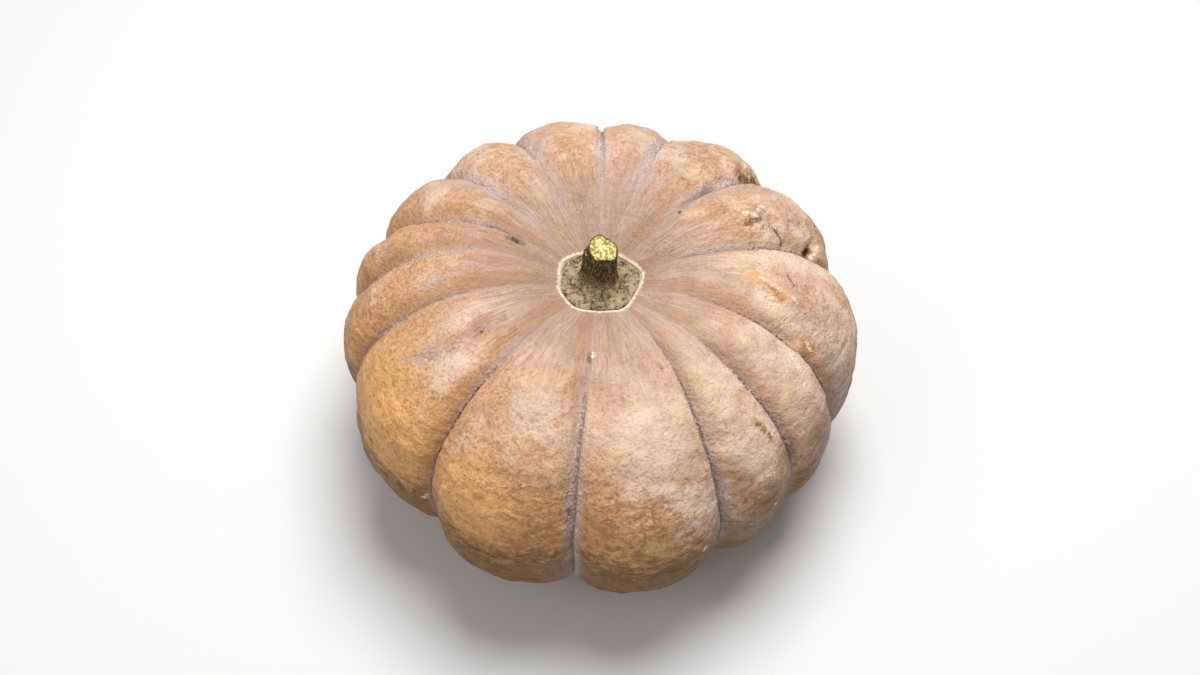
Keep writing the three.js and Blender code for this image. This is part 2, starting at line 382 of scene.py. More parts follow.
def shape_skin(piece, core, rind):
    skin = Skin(piece, core)
    seam, side = seam_lines(piece, skin)
    clear_of_foot = ramp(distance_from(piece, STALK, 0), 4 * MM, 14 * MM)
    clear_of_floor = ramp(skin.co[:, 2], 0.5 * MM, 14 * MM)
    free = clear_of_foot * clear_of_floor
    below = 1 - ramp(skin.latitude, 20, 46)
    beside_seam = ramp(seam, 0.0, 7 * MM)
    wrap_map(piece, skin, "wrinkle_map", 0.3)
    opened = ramp(skin.out, 0.06, 0.12) * clear_of_floor * (1 - faintness(skin))
    weigh(piece, "slit", bell(seam, rind.seam_width) * opened)
    weigh(piece, "upper_edge", bell(seam * side - EDGE_PLACE, EDGE_WIDTH) * opened)
    weigh(piece, "tucked_edge", bell(seam * side + EDGE_PLACE, EDGE_WIDTH) * opened)
    weigh(piece, "free", free * (0.35 + 0.65 * beside_seam))
    weigh(piece, "flanks", below * free * (0.3 + 0.7 * beside_seam))
    displace(piece, -rind.seam_depth, "slit", mid_level=0.0)
    displace(piece, rind.seam_lap, "upper_edge", mid_level=0.0)
    displace(piece, -rind.seam_lap, "tucked_edge", mid_level=0.0)
    weigh(piece, "rough", free * beside_seam * skin.patches(ROUGH))
    for name, size, depth, height, group, middle in (
        ("broad_lumps", rind.lump_size, 1, rind.lump_height, "free", 0.62),
        ("small_dents", rind.dent_size, 2, rind.dent_height, "free", 0.6),
        ("knobs", rind.knob_size, 1, rind.knob_height, "rough", 0.6),
    ):
        lift = {"texture": clouds(name, size, depth), "texture_coords": "LOCAL", "mid_level": middle}
        displace(piece, height, group, **lift)
    folds = clouds("cross_wrinkles", rind.wrinkle_size, 1)
    lift = {"texture": folds, "texture_coords": "UV", "uv_layer": "wrinkle_map", "mid_level": 0.5}
    displace(piece, rind.wrinkle_height, "flanks", **lift)
    piece.data.uv_layers.remove(piece.data.uv_layers["wrinkle_map"])
    skin = Skin(piece, core)
    for name, start, end, width, height in FEATURES:
        weigh(piece, name, skin.near(start, end, width * MM))
        displace(piece, height * MM, name, mid_level=0.0)


# Grown features: name, the two ends as direction and latitude in degrees, width and height in mm.
FEATURES = (
    ("knob", (266, 52.5), (266, 52), 2.5, 1.8),
    ("upper_wart", (25, 39), (24, 37.6), 3.0, 1.6),
    ("lower_wart", (26.8, 34.2), (26, 35.4), 3.0, 1.6),
    ("tuck", (15.2, 19), (17.6, 17.6), 4.2, -6.0),
    ("cross_fold", (20, 31.5), (14.6, 27.8), 3.5, -2.4),
    ("back_crease_high", (213.4, 50), (212.3, 43), 2.8, -2.2),
    ("back_crease_mid", (212.3, 43), (211.2, 36), 2.8, -2.4),
    ("back_crease_low", (211.2, 36), (208.4, 29), 3.0, -2.0),
    ("worn_ridge", (355, 41.5), (350.6, 28.6), 6.0, 2.2),
    ("short_crease", (0.8, 31.5), (358.3, 29.9), 2.6, -1.4),
    ("flank_scar", (340.2, 24.3), (340.2, 24.3), 5.0, 2.0),
    ("pit", (158.6, 55.8), (158.6, 55.8), 3.5, -1.6),
    ("end_bump_high", (47, 27), (46, 26.5), 4.0, 2.4),
    ("end_bump_mid", (43.5, 24), (43, 23), 4.0, 2.8),
    ("end_bump_low", (46, 20.5), (45, 20), 3.6, 2.2),
    ("end_dent", (44.5, 27), (46.5, 22.5), 2.6, -1.6),
)


def finish_notes(piece, core):
    """Numbers for each vertex that the rind's material reads."""
    skin = Skin(piece, core)
    seam, side = seam_lines(piece, skin)
    turn = np.radians(skin.direction)
    lines = [skin.near(start, end, width * MM) for start, end, width in DUST_LINES]
    remember(piece, {
        "round_about": np.stack([np.cos(turn), np.sin(turn), np.radians(skin.latitude)], 1),
        "seam_mm": seam / MM,
        "seam_side_mm": side * seam / MM,
        "lip_mm": distance_from(piece, STALK, WAIST) / MM,
        "latitude": skin.latitude,
        "out": skin.out,
        "ripe": skin.patches(RIPE),
        "bloomed": skin.patches(BLOOMED),
        "knobbly": skin.patches(ROUGH),
        "dusty": skin.patches(DUSTY),
        "weathered": skin.patches(WEATHERED),
        "slit": ramp(skin.out, 0.05, 0.075) * (1 - faintness(skin)),
        "dust_line": np.max(lines, 0),
    })


def faintness(skin):
    """0 where a seam is dark and cut in, up to 1 where it is only a soft valley."""
    return np.clip(0.05 + skin.patches(FAINT_SEAMS), 0, 1)


# Where the rind is roughest and ripest, its bloom thickest, its seams faintest and their dust widest, and
# where the skin is weathered to a lilac grey: an amount, then a direction, a latitude, a width and a height
# in degrees.
ROUGH = (
    (1.0, (54, 34, 12, 22)), (0.8, (22, 30, 11, 20)), (0.6, (350, 20, 12, 18)),
    (0.5, (125, 30, 14, 18)), (0.4, (85, 42, 50, 12)), (0.45, (245, 3, 28, 10)),
    (0.4, (310, 4, 30, 12)),
)
RIPE = (
    (0.9, (207, 18, 12, 14)), (0.5, (222, 16, 8, 12)), (1.1, (238.5, 15.5, 6, 9)),
    (1.0, (162, 4, 14, 8)), (0.7, (247, 12, 8, 9)), (0.6, (220, 9, 8, 7)),
    (0.4, (189, 12, 8, 14)), (0.3, (124, 32, 7, 8)), (0.3, (50, 40, 5, 5)),
    (0.8, (52, 24, 5, 6)), (0.6, (36, 50, 3, 4)), (0.4, (150, 36, 8, 8)),
    (0.4, (278, 6, 12, 9)), (0.5, (355, 41, 4, 4)),
)
BLOOMED = (
    (0.3, (330, 25, 70, 60)), (-0.55, (226, 44, 5, 14)), (-0.2, (170, 50, 40, 16)),
    (-0.35, (178, 20, 22, 16)), (-0.7, (224, 27, 6, 6)), (-0.5, (218, 12, 14, 8)),
    (-0.3, (244, 27, 12, 8)), (-0.5, (92, 60, 50, 7)), (0.3, (147, 32, 12, 12)),
    (0.3, (129, 33, 8, 9)), (0.2, (181, 40, 8, 8)), (-0.3, (104, 40, 8, 12)),
    (-0.3, (81, 41, 8, 12)), (-0.45, (22, 42, 9, 8)), (-0.5, (358, 25, 6, 8)),
    (0.5, (347, 20, 5, 7)), (-0.1, (284, 20, 9, 7)), (0.6, (200, 43, 7, 7)),
    (0.5, (57, 43, 6, 5)), (0.3, (22, 27, 7, 8)), (0.55, (218.8, 34.5, 5.5, 8)),
    (0.9, (246, 42, 7, 8)), (0.7, (279, 41, 12, 9)), (-0.3, (239, 39, 7, 6)),
    (-0.5, (307, 27, 7, 7)), (0.5, (290, 32, 6, 9)), (0.5, (305, 38, 8, 14)),
    (0.5, (330, 40, 8, 12)), (0.7, (348, 36, 5, 6)), (0.5, (316, 14, 26, 12)),
    (0.6, (0, 12, 34, 18)), (0.4, (75, 45, 25, 20)), (0.5, (124, 52, 10, 8)),
    (-0.5, (262, 16, 20, 8)),
)
FAINT_SEAMS = (
    (0.95, (182, 30, 22, 60)), (0.5, (157, 25, 9, 60)), (0.45, (135, 30, 9, 60)),
    (0.35, (114, 30, 9, 60)), (0.5, (228, 60, 12, 14)), (0.6, (319, 50, 9, 14)),
    (0.5, (298, 55, 9, 12)),
)
DUSTY = (
    (0.4, (229, 46, 8, 14)), (1.0, (264, 8, 7, 32)), (0.8, (298, 10, 7, 22)),
    (0.9, (70, 40, 9, 30)), (0.8, (89.5, 40, 9, 30)), (0.9, (114, 40, 9, 30)),
    (0.9, (135.5, 40, 9, 30)), (0.5, (157.5, 45, 8, 20)), (0.7, (41.5, 40, 8, 20)),
    (0.4, (319, 5, 8, 20)), (0.5, (13.5, 50, 10, 14)),
)
WEATHERED = (
    (1.0, (343, 3, 9, 12)), (0.6, (331, 4, 7, 9)), (0.6, (304, 0, 8, 9)),
    (0.5, (263, -6, 7, 9)), (0.4, (352, 34, 4, 20)), (0.5, (38, 36, 4, 14)),
    (0.3, (93, 58, 24, 8)), (0.6, (110, 34, 5, 16)), (0.6, (140, 34, 5, 16)),
    (0.5, (76, 36, 5, 16)), (0.4, (165, 46, 6, 10)),
)
# Dusty grooves away from the seams: two ends as direction and latitude in degrees, and width in mm.
DUST_LINES = (
    ((213.4, 50), (212.3, 43), 3.0),
    ((212.3, 43), (211.2, 36), 3.0),
    ((211.2, 36), (208.4, 29), 4.6),
    ((63, 47), (67, 30), 4.0),
    ((178, 50), (186, 35), 3.5),
)


# ---- materials


class Nodes:
    """Adds nodes to a tree, each with its inputs joined to sockets or set to values."""

    def __init__(self, tree):
        self.tree = tree

    def add(self, kind, inputs=(), **settings):
        node = self.tree.nodes.new(kind)
        for key, value in settings.items():
            setattr(node, key, value)
        for key, value in dict(inputs).items():
            self.join(node.inputs[key], value)
        return node

    def join(self, socket, value):
        if isinstance(value, bpy.types.NodeSocket):
            self.tree.links.new(value, socket)
        elif socket.type == "RGBA" and len(value) == 3:
            socket.default_value = (*value, 1)
        else:
            socket.default_value = value

    def math(self, operation, *values):
        return self.add("ShaderNodeMath", enumerate(values), operation=operation).outputs[0]

    def chain(self, operation, values):
        result = values[0]
        for value in values[1:]:
            result = self.math(operation, result, value)
        return result

    def times(self, *values):
        return self.chain("MULTIPLY", values)

    def plus(self, *values):
        return self.chain("ADD", values)

    def swing(self, value, reach):
        """A pattern from 0 to 1 as one that swings by half the reach each way."""
        return self.times(self.plus(value, -0.5), reach)

    def ramp(self, value, start, end, low=0.0, high=1.0):
        inputs = {"Value": value, "From Min": start, "From Max": end, "To Min": low, "To Max": high}
        return self.add("ShaderNodeMapRange", inputs, interpolation_type="SMOOTHSTEP").outputs[0]

    def mix(self, share, first, second, blend="MIX"):
        inputs = {0: share, 6: first, 7: second}
        return self.add("ShaderNodeMix", inputs, data_type="RGBA", blend_type=blend).outputs[2]

    def vector(self, operation, *values):
        return self.add("ShaderNodeVectorMath", enumerate(values), operation=operation).outputs[0]

    def noise(self, place, scale=1.0, detail=2.0, roughness=0.5, distortion=0.0):
        inputs = {
            "Vector": place, "Scale": scale, "Detail": detail,
            "Roughness": roughness, "Distortion": distortion,
        }
        return self.add("ShaderNodeTexNoise", inputs).outputs["Fac"]

    def wander(self, place, scale):
        """A vector that wanders by about a half each way."""
        inputs = {"Vector": place, "Scale": scale, "Detail": 2.0}
        colour = self.add("ShaderNodeTexNoise", inputs).outputs["Color"]
        return self.vector("SUBTRACT", colour, (0.5,) * 3)

    def cells(self, place, scale):
        """How far it is to the nearest of many scattered points."""
        return self.add("ShaderNodeTexVoronoi", {"Vector": place, "Scale": scale}).outputs["Distance"]

    def number(self, name):
        return self.add("ShaderNodeAttribute", attribute_name=name).outputs["Fac"]

    def triple(self, name):
        return self.add("ShaderNodeAttribute", attribute_name=name).outputs["Vector"]

    def place(self):
        """Object coordinates, in millimetres."""
        raw = self.add("ShaderNodeTexCoord").outputs["Object"]
        return self.vector("MULTIPLY", raw, (1 / MM,) * 3)

    def measure(self, operation, *values):
        return self.add("ShaderNodeVectorMath", enumerate(values), operation=operation).outputs["Value"]

    def group(self, tree, inputs, label=""):
        return self.add("ShaderNodeGroup", inputs, node_tree=tree, label=label).outputs[0]

    def bump(self, height):
        """A normal from a height in millimetres."""
        return self.add("ShaderNodeBump", {"Height": height, "Strength": 1.0, "Distance": MM}).outputs[0]


def new_group(name, vectors, numbers):
    """A node group with inputs of these names, which puts out a mask, and its two ends."""
    tree = bpy.data.node_groups.new(name, "ShaderNodeTree")
    for label in (*vectors, *numbers):
        kind = "NodeSocketVector" if label in vectors else "NodeSocketFloat"
        tree.interface.new_socket(label, in_out="INPUT", socket_type=kind)
    tree.interface.new_socket("Mask", in_out="OUTPUT", socket_type="NodeSocketFloat")
    given = tree.nodes.new("NodeGroupInput").outputs
    result = tree.nodes.new("NodeGroupOutput").inputs
    return tree, Nodes(tree), given, result


def mark_group():
    """1 along a line from Start to End, fading out at Radius. Wear breaks up its edge."""
    tree, n, given, result = new_group("mark", ("Place", "Start", "End"), ("Radius", "Wear"))
    way = n.vector("SUBTRACT", given["End"], given["Start"])
    gone = n.vector("SUBTRACT", given["Place"], given["Start"])
    squared = n.math("MAXIMUM", n.measure("DOT_PRODUCT", way, way), 1e-6)
    share = n.math("DIVIDE", n.measure("DOT_PRODUCT", gone, way), squared)
    share = n.math("MINIMUM", n.math("MAXIMUM", share, 0.0), 1.0)
    along = n.add("ShaderNodeVectorMath", {0: way, "Scale": share}, operation="SCALE").outputs[0]
    away = n.measure("LENGTH", n.vector("SUBTRACT", gone, along))
    away = n.plus(away, n.times(given["Wear"], given["Radius"]))
    n.join(result["Mask"], n.ramp(away, given["Radius"], n.times(given["Radius"], 0.4)))
    return tree


def speckle_group():
    """Specks of about Size that cover about Share of the surface. Every material shares this group."""
    if "speckle" in bpy.data.node_groups:
        return bpy.data.node_groups["speckle"]
    tree, n, given, result = new_group("speckle", ("Place",), ("Size", "Share"))
    grains = n.noise(given["Place"], n.math("DIVIDE", 1, given["Size"]), 2, 0.55, 0.4)
    edge = n.plus(0.68, n.times(given["Share"], -0.36))
    n.join(result["Mask"], n.ramp(grains, edge, n.plus(edge, 0.09)))
    return tree


def new_material(name):
    material = bpy.data.materials.new(name)
    material.use_nodes = True
    return material, Nodes(material.node_tree), material.node_tree.nodes["Principled BSDF"]


# Marks on the rind: name, the two ends as direction and latitude in degrees, radius in mm, colour,
# strength, and height in mm.
MARKS = (
    # Painted shadow beside the knob.
    ("knob_shade", (264.6, 52.8), (264.8, 51.4), 2.0, "umber", 0.8, -0.4),
    ("knob", (266.4, 52.7), (266.4, 52), 2.3, "cream", 1.1, 0.6),
    # Painted shadow below the warts.
    ("wart_shade", (21.6, 38.2), (23, 35.6), 2.6, "umber", 0.9, -0.6),
    ("wart_bridge", (24.6, 38.6), (26.8, 34), 4.4, "scar", 0.6, 0.4),
    ("upper_wart", (25.4, 39.4), (24.9, 38.8), 2.1, "cream", 1.5, 0.3),
    ("middle_wart", (23.4, 37.4), (23.2, 37), 1.9, "cream", 1.5, 0.3),
    ("lower_wart", (27.4, 33.6), (27, 34.2), 2.3, "cream", 1.5, 0.3),
    ("small_wart", (25.4, 35.6), (25.4, 35.4), 1.6, "cream", 1.5, 0.3),
    ("tuck_bed", (14.2, 20.6), (17.8, 19.2), 4.4, "scar", 0.7, 0.3),
    # Painted shade in the tuck and at its bottom, and a painted highlight on its lip.
    ("tuck", (15, 19.2), (17.8, 17.6), 3.9, "umber", 1.6, -1.2),
    ("tuck_bottom", (15.8, 18.8), (17, 18), 1.6, "dark", 1.6, -0.6),
    ("tuck_lip", (15, 16.8), (17.6, 15.6), 1.8, "shine", 1.3, 0.4),
    ("cross_fold", (19.6, 31), (15, 28.3), 2.0, "dark", 0.95, -0.6),
    # Painted highlights along the worn ridge: the patch, the gloss and the glint in shine.
    ("painted_highlight_patch", (351, 39), (348.5, 36), 8.0, "shine", 0.7, 0.3),
    ("worn_bed", (355, 42), (351, 34), 6.0, "ochre", 0.6, 0.2),
    ("worn_high", (354.6, 40.5), (353, 38), 2.2, "scar", 0.45, 0.3),
    ("worn_middle", (352.8, 38), (351, 35), 3.4, "scar", 0.8, 0.3),
    ("worn_low", (351, 31.4), (350.6, 29.4), 2.6, "scar", 0.5, 0.3),
    ("worn_gloss", (355, 40.4), (352.6, 36), 2.2, "shine", 1.1, 0.4),
    ("worn_glint", (351.6, 33), (351, 30.6), 1.5, "shine", 0.8, 0.4),
    ("short_crease", (0.8, 31.5), (358.3, 29.9), 1.4, "umber", 0.8, -0.5),
    ("flank_scar", (341.8, 24.8), (341.4, 22.4), 5.4, "tan", 1.2, 0.3),
    ("flank_pit", (341.4, 24.2), (341.4, 23.4), 1.6, "scar", 0.8, -0.4),
    # Painted highlight on the scar.
    ("flank_gloss", (342.8, 24.6), (341.6, 22.6), 1.6, "shine", 1.0, 0.3),
    ("flank_fleck_high", (336, 26.2), (335.6, 25.4), 2.4, "cream", 1.9, 0.4),
    ("flank_fleck_low", (335, 24.4), (334.4, 23.6), 2.8, "cream", 1.9, 0.4),
    ("scab", (313.6, 25.4), (315.4, 19), 3.8, "tan", 0.9, 0.3),
    # Painted highlight on the rim of the scab.
    ("scab_rim", (315.4, 22), (316, 18.4), 1.9, "shine", 1.2, 0.3),
    ("scab_pit_high", (313.6, 25), (314, 24), 1.3, "umber", 0.9, -0.5),
    ("scab_pit_middle", (314.3, 22.8), (314.5, 21.8), 1.4, "scar", 1.2, -0.5),
    ("scab_pit_low", (314.9, 20.8), (315, 20), 1.2, "umber", 0.9, -0.5),
    # Painted shade low on the right-hand flanks.
    ("low_shade_right", (310, 6), (316, 10), 15.0, "umber", 0.6, 0.0),
    ("low_shade_far_right", (328, 10), (333, 8), 13.0, "umber", 0.45, 0.0),
    ("low_fleck", (311.2, 2), (311.2, 2), 1.6, "cream", 1.4, 0.3),
    ("pit", (157.4, 57), (157.2, 54), 2.8, "mould", 0.9, -0.8),
    ("pit_dark", (157.6, 56.2), (157.4, 55), 1.5, "dark", 0.9, -0.6),
    ("dark_dot", (39.8, 51.8), (39.8, 51.8), 1.8, "dark", 1.0, -0.5),
    ("left_dot", (218.9, 11.2), (218.9, 11.2), 1.2, "dark", 0.5, -0.3),
    ("nick", (262.6, 15.4), (263.2, 14.2), 1.5, "slit", 0.8, -0.6),
    ("front_fleck", (292.6, 2.2), (292.4, 1.6), 1.9, "cream", 1.7, 0.3),
    ("side_fleck", (226.4, -0.6), (226.2, -1.4), 1.7, "cream", 0.9, 0.3),
    ("pale_patch", (52, 41), (49.4, 38), 7.0, "straw", 0.7, 0.2),
    ("pale_streak", (37, 52), (33, 47), 3.6, "straw", 0.6, 0.1),
    ("seam_scurf", (43, 50), (43.5, 38), 4.5, "dust", 0.7, 0.0),
    ("seam_scurf_dots", (42.6, 49), (43, 38), 3.0, "umber", 0.4, -0.3),
    ("brown_end", (46, 26), (43, 18), 7.5, "groove", 0.7, 0.3),
    ("brown_hollow", (43.6, 26), (43, 18), 4.0, "umber", 1.1, -0.4),
    # Painted highlights on two of the bumps at the end of the rib.
    ("end_grain_high", (45, 25), (44.6, 24), 1.5, "shine", 1.3, 0.4),
    ("end_grain_middle", (43, 22.6), (43.4, 21.8), 1.4, "shine", 1.3, 0.4),
    ("end_grain_low", (45.2, 20), (44.6, 19.2), 1.5, "cream", 1.3, 0.4),
    ("crease_high", (213.4, 50), (212.3, 43), 1.1, "umber", 0.55, -0.3),
    ("crease_middle", (212.3, 43), (211.2, 36), 1.1, "umber", 0.55, -0.3),
    ("crease_low", (211.2, 36), (209.6, 31), 1.2, "umber", 0.5, -0.3),
    ("crease_end", (210.4, 33), (207.6, 27.6), 3.6, "dust", 0.5, 0.0),
)


class RindPatterns:
    """The numbers and patterns that the steps of the rind's material share."""

    def __init__(self, n):
        self.place = place = n.place()
        self.seam = n.number("seam_mm")
        self.side = n.number("seam_side_mm")
        self.lip = n.number("lip_mm")
        for name in ("latitude", "out", "ripe", "bloomed", "knobbly", "dusty", "slit"):
            setattr(self, name, n.number(name))

        # Patterns that run up the ribs or across them, from 0 to 1.
        def drawn(stretch, *looks):
            return n.noise(n.vector("MULTIPLY", n.triple("round_about"), stretch), 1, *looks)

        self.rays = drawn((26, 26, 6), 4, 0.6, 0.5)
        self.fine_rays = drawn((75, 75, 14), 4, 0.65, 0.6)
        self.wrinkles = drawn((16, 16, 32), 2, 0.5, 0.6)
        self.creases = drawn((40, 40, 56), 2, 0.5, 0.6)

        # Patterns that run no way, from 0 to 1. The divisor is about the size of a patch in mm.
        self.blotches = n.noise(place, 1 / 32, 3, 0.55, 0.3)
        self.drift = n.noise(place, 1 / 15, 3, 0.6, 0.3)
        self.mottle = n.noise(place, 1 / 7, 4, 0.65, 0.4)
        self.pebbles = n.noise(place, 1 / 3, 2, 0.6, 0.4)
        self.grain = n.noise(place, 1 / 1.5, 2, 0.6, 0.3)
        self.beads = n.noise(place, 1 / 2, 1, 0.5)

        # The zones: round the stalk, the tops of the ribs and their flanks.
        self.hub = n.ramp(self.out, 0.1, 0.045)
        self.upper = n.ramp(self.latitude, 28, 50)
        self.flank = n.ramp(self.latitude, 34, 8)
        hollow = n.plus(n.ramp(self.wrinkles, 0.52, 0.36), n.ramp(self.creases, 0.5, 0.36))
        raised = n.plus(n.ramp(self.wrinkles, 0.54, 0.7), n.ramp(self.creases, 0.55, 0.7))
        self.folds = n.times(hollow, self.flank)
        self.crests = n.times(raised, self.flank)


def bare_rind(n, p, rind, glint):
    """Tan to ochre, darker in the hollows of the pebbles and wrinkles as painted shade, and paler on the
    wrinkle crests as painted highlights.
    """
    ripeness = n.plus(p.ripe, n.times(p.blotches, 0.5), n.times(p.mottle, 0.5))
    colour = n.mix(n.ramp(ripeness, 0.6, 1.25), rind.tan, rind.ochre)
    grooves = n.times(n.ramp(p.pebbles, 0.5, 0.34), n.ramp(p.ripe, 0.2, 0.7, 0.45, 0.32))
    colour = n.mix(grooves, colour, rind.groove)
    folds = n.times(n.math("MINIMUM", p.folds, 1), n.ramp(p.ripe, 0.3, 0.9, 0.6, 0.4))
    colour = n.mix(folds, colour, rind.groove)
    return n.mix(n.times(n.math("MINIMUM", p.crests, 1), 0.5), colour, glint)


def bloom_cover(n, p):
    """How thick the bloom is: thin in the grooves, on ripe patches and low on the flanks."""
    strayed = n.plus(p.latitude, n.swing(p.blotches, 36))
    cover = n.plus(
        p.bloomed,
        n.times(p.blotches, 1.15),
        n.times(p.mottle, 1.1),
        n.times(p.pebbles, 0.9),
        n.times(n.plus(p.rays, -0.5), p.upper, 1.4),
        n.times(p.ripe, -0.5),
        n.times(n.plus(p.crests, n.times(p.folds, -1)), 0.2),
        n.ramp(strayed, 28, -10, 0.0, -1.2),
        -1.17,
    )
    return n.ramp(cover, -0.25, 0.9)


def waxed_rind(n, p, rind):
    """The bare rind under its bloom, which is pinker or straw-coloured in patches."""
    # Glint is the colour of painted highlights on crests, grain and pebbles: straw high up, ochre low on the
    # flanks.
    glint = n.mix(n.ramp(p.latitude, 26, 8), rind.straw, rind.ochre)
    bare = bare_rind(n, p, rind, glint)
    cover = bloom_cover(n, p)
    paler = n.ramp(n.plus(p.blotches, n.times(p.bloomed, 0.12)), 0.44, 0.68)
    waxy = n.mix(paler, rind.blush, rind.bloom)
    waxy = n.mix(n.times(n.ramp(p.drift, 0.52, 0.68), 0.55), waxy, rind.straw)
    colour = n.mix(n.times(cover, 0.93), bare, waxy)
    freckles = n.group(speckle_group(), {"Place": p.place, "Size": 1.7, "Share": 0.42})
    freckles = n.times(freckles, n.ramp(cover, 1.0, 0.2, 0.12, 0.5), n.ramp(p.ripe, 0.2, 1, 1, 0.4))
    pits = n.times(n.ramp(p.pebbles, 0.45, 0.33), n.plus(0.18, n.times(p.knobbly, 0.3)))
    # Freckles; darker hollows and paler tops of the grain, pebbles and knobs, partly their own colour and
    # partly painted shade and painted highlights.
    for share, paint in (
        (freckles, rind.groove),
        (n.times(n.ramp(p.grain, 0.5, 0.34), 0.26), rind.groove),
        (pits, rind.groove),
        (n.times(n.ramp(p.mottle, 0.5, 0.36), p.knobbly, 0.35), rind.groove),
        (n.times(n.ramp(p.mottle, 0.54, 0.68), p.knobbly, 0.4), rind.straw),
        (n.times(n.ramp(p.grain, 0.52, 0.66), 0.3), glint),
        (n.times(n.ramp(p.pebbles, 0.53, 0.68), 0.25), glint),
    ):
        colour = n.mix(share, colour, paint)
    return colour, cover


def hub_streaks(n, p, rind, colour):
    """The rays and scratches that run from the stalk, and the dull skin round it."""
    unwaxed = n.ramp(p.bloomed, 1.0, 0.1, 0.4, 1.0)
    rayed = n.times(
        n.ramp(p.out, 0.125, 0.06),
        n.ramp(p.rays, 0.58, 0.4),
        n.ramp(p.bloomed, 0.4, -0.4, 0.3, 0.8),
        n.ramp(p.mottle, 0.3, 0.6, 0.4, 1.0),
    )
    streaks = n.times(
        n.ramp(p.fine_rays, 0.5, 0.32),
        n.ramp(p.out, 0.12, 0.07),
        n.ramp(p.drift, 0.35, 0.6, 0.3, 0.9),
        unwaxed,
    )
    pale_rays = n.times(p.hub, n.ramp(p.fine_rays, 0.5, 0.68), n.ramp(p.mottle, 0.35, 0.6, 0.1, 0.36))
    scratches = n.times(
        n.ramp(p.fine_rays, 0.4, 0.33),
        n.ramp(p.out, 0.11, 0.06),
        n.ramp(p.mottle, 0.4, 0.55, 0.15, 0.5),
        unwaxed,
    )
    colour = n.mix(rayed, colour, rind.groove)
    colour = n.mix(streaks, colour, rind.groove)
    colour = n.mix(n.times(p.hub, 0.6), colour, rind.mauve)
    colour = n.mix(pale_rays, colour, rind.bloom)
    return n.mix(scratches, colour, rind.umber)


def low_flanks(n, p, rind, colour):
    """Painted shade on the lower flanks, in umber that deepens towards the bottom and in the folds, partly
    also their browner colour; and the skin that is weathered to a lilac grey.
    """
    relief = n.times(n.plus(p.folds, n.times(p.crests, -1)), 0.3)
    # Painted shade: the umber grows towards the bottom of the flanks and in the folds of the wrinkles.
    low = n.times(
        n.plus(n.ramp(p.latitude, 14, -11, 0.0, 1.4), relief),
        n.ramp(p.latitude, 20, 2),
        n.ramp(p.bloomed, 0.2, 0.9, 1.0, 0.75),
        n.ramp(p.ripe, 0.2, 0.9, 1.0, 0.2),
    )
    low = n.math("MINIMUM", n.math("MAXIMUM", low, 0), n.ramp(p.mottle, 0.4, 0.6, 0.98, 0.8))
    colour = n.mix(n.times(low, n.ramp(p.latitude, -44, -22, 0.3, 1.0)), colour, rind.umber)
    patchy = n.ramp(n.plus(n.times(p.mottle, 0.5), n.times(p.drift, 0.5)), 0.4, 0.58, 0.5, 1.0)
    weathered = n.times(n.number("weathered"), patchy)
    return n.mix(n.times(weathered, n.ramp(p.grain, 0.35, 0.6, 0.9, 0.6)), colour, rind.dust)


def seam_dust(n, p):
    """How thick the dust is: thickest along the seams."""
    reach = n.plus(4.4, n.times(p.dusty, 5.0), n.times(n.ramp(p.side, 0.5, -0.5), 2.2))
    strayed = n.plus(p.seam, n.swing(p.mottle, 6.0), n.swing(p.pebbles, 3.0))
    dust = n.times(
        n.ramp(n.math("DIVIDE", strayed, reach), 1.0, 0.1),
        n.plus(n.ramp(p.drift, 0.34, 0.6, 0.3, 0.75), n.times(p.dusty, 0.25)),
        n.ramp(p.latitude, -34, -8, 0.35, 1.0),
        n.ramp(p.out, 0.04, 0.085, 0.35, 1.0),
    )
    line = n.times(n.number("dust_line"), n.ramp(p.mottle, 0.35, 0.6), 0.8)
    return n.math("MAXIMUM", dust, line)


def beaded_slit(n, p):
    """The dark slit at the bottom of the seams, which wanders and breaks up."""
    weave = n.math("ABSOLUTE", n.plus(p.side, n.swing(p.mottle, 2.4)))
    width = n.plus(0.5, n.times(n.ramp(p.latitude, 45, 5), n.ramp(p.drift, 0.3, 0.6), 1.2))
    thin = n.ramp(n.plus(weave, n.times(p.beads, 8.0), -3.9, n.times(width, -1)), 0.6, -0.4)
    return n.times(
        thin,
        n.ramp(p.seam, 4.0, 2.6),
        p.slit,
        n.ramp(p.latitude, 60, 25, 0.6, 0.9),
        n.ramp(p.dusty, 0.2, 1.0, 1.0, 0.42),
    )


def dusted_seams(n, p, rind, colour, dust, slit):
    """The dust, the painted shade beside the seams on the rib further from the front, the paler edge of the
    rib in front, partly chalky dust and partly a painted highlight, and the slit.
    """
    paler = n.plus(n.ramp(p.grain, 0.45, 0.63), n.times(p.dusty, 0.3), n.ramp(p.latitude, 18, 40, 0.0, 0.3))
    chalky = n.times(n.math("MINIMUM", paler, 1), n.ramp(p.out, 0.06, 0.11, 0.3, 1.0))
    dots = n.group(speckle_group(), {"Place": p.place, "Size": 1.3, "Share": 0.45})
    # Painted shade beside each seam, on the rib further from the front.
    shade = n.times(n.ramp(p.seam, 16, 5), n.ramp(p.side, 0.5, -2), n.ramp(p.dusty, 0.6, 0, 0, 0.38))
    # Painted highlight, mixed with chalky dust, along the edge of the rib nearer the front.
    rim = n.times(
        n.ramp(p.side, 0.6, 1.6),
        n.ramp(p.side, 5.5, 2.0),
        p.slit,
        n.ramp(p.pebbles, 0.45, 0.65),
        n.ramp(p.out, 0.09, 0.12),
        0.65,
    )
    colour = n.mix(dust, colour, n.mix(chalky, rind.dust, rind.chalk))
    colour = n.mix(n.times(dots, n.ramp(p.out, 0.07, 0.12), dust, 0.7), colour, rind.slit)
    colour = n.mix(shade, colour, rind.groove)
    colour = n.mix(rim, colour, rind.chalk)
    return n.mix(slit, colour, rind.slit)


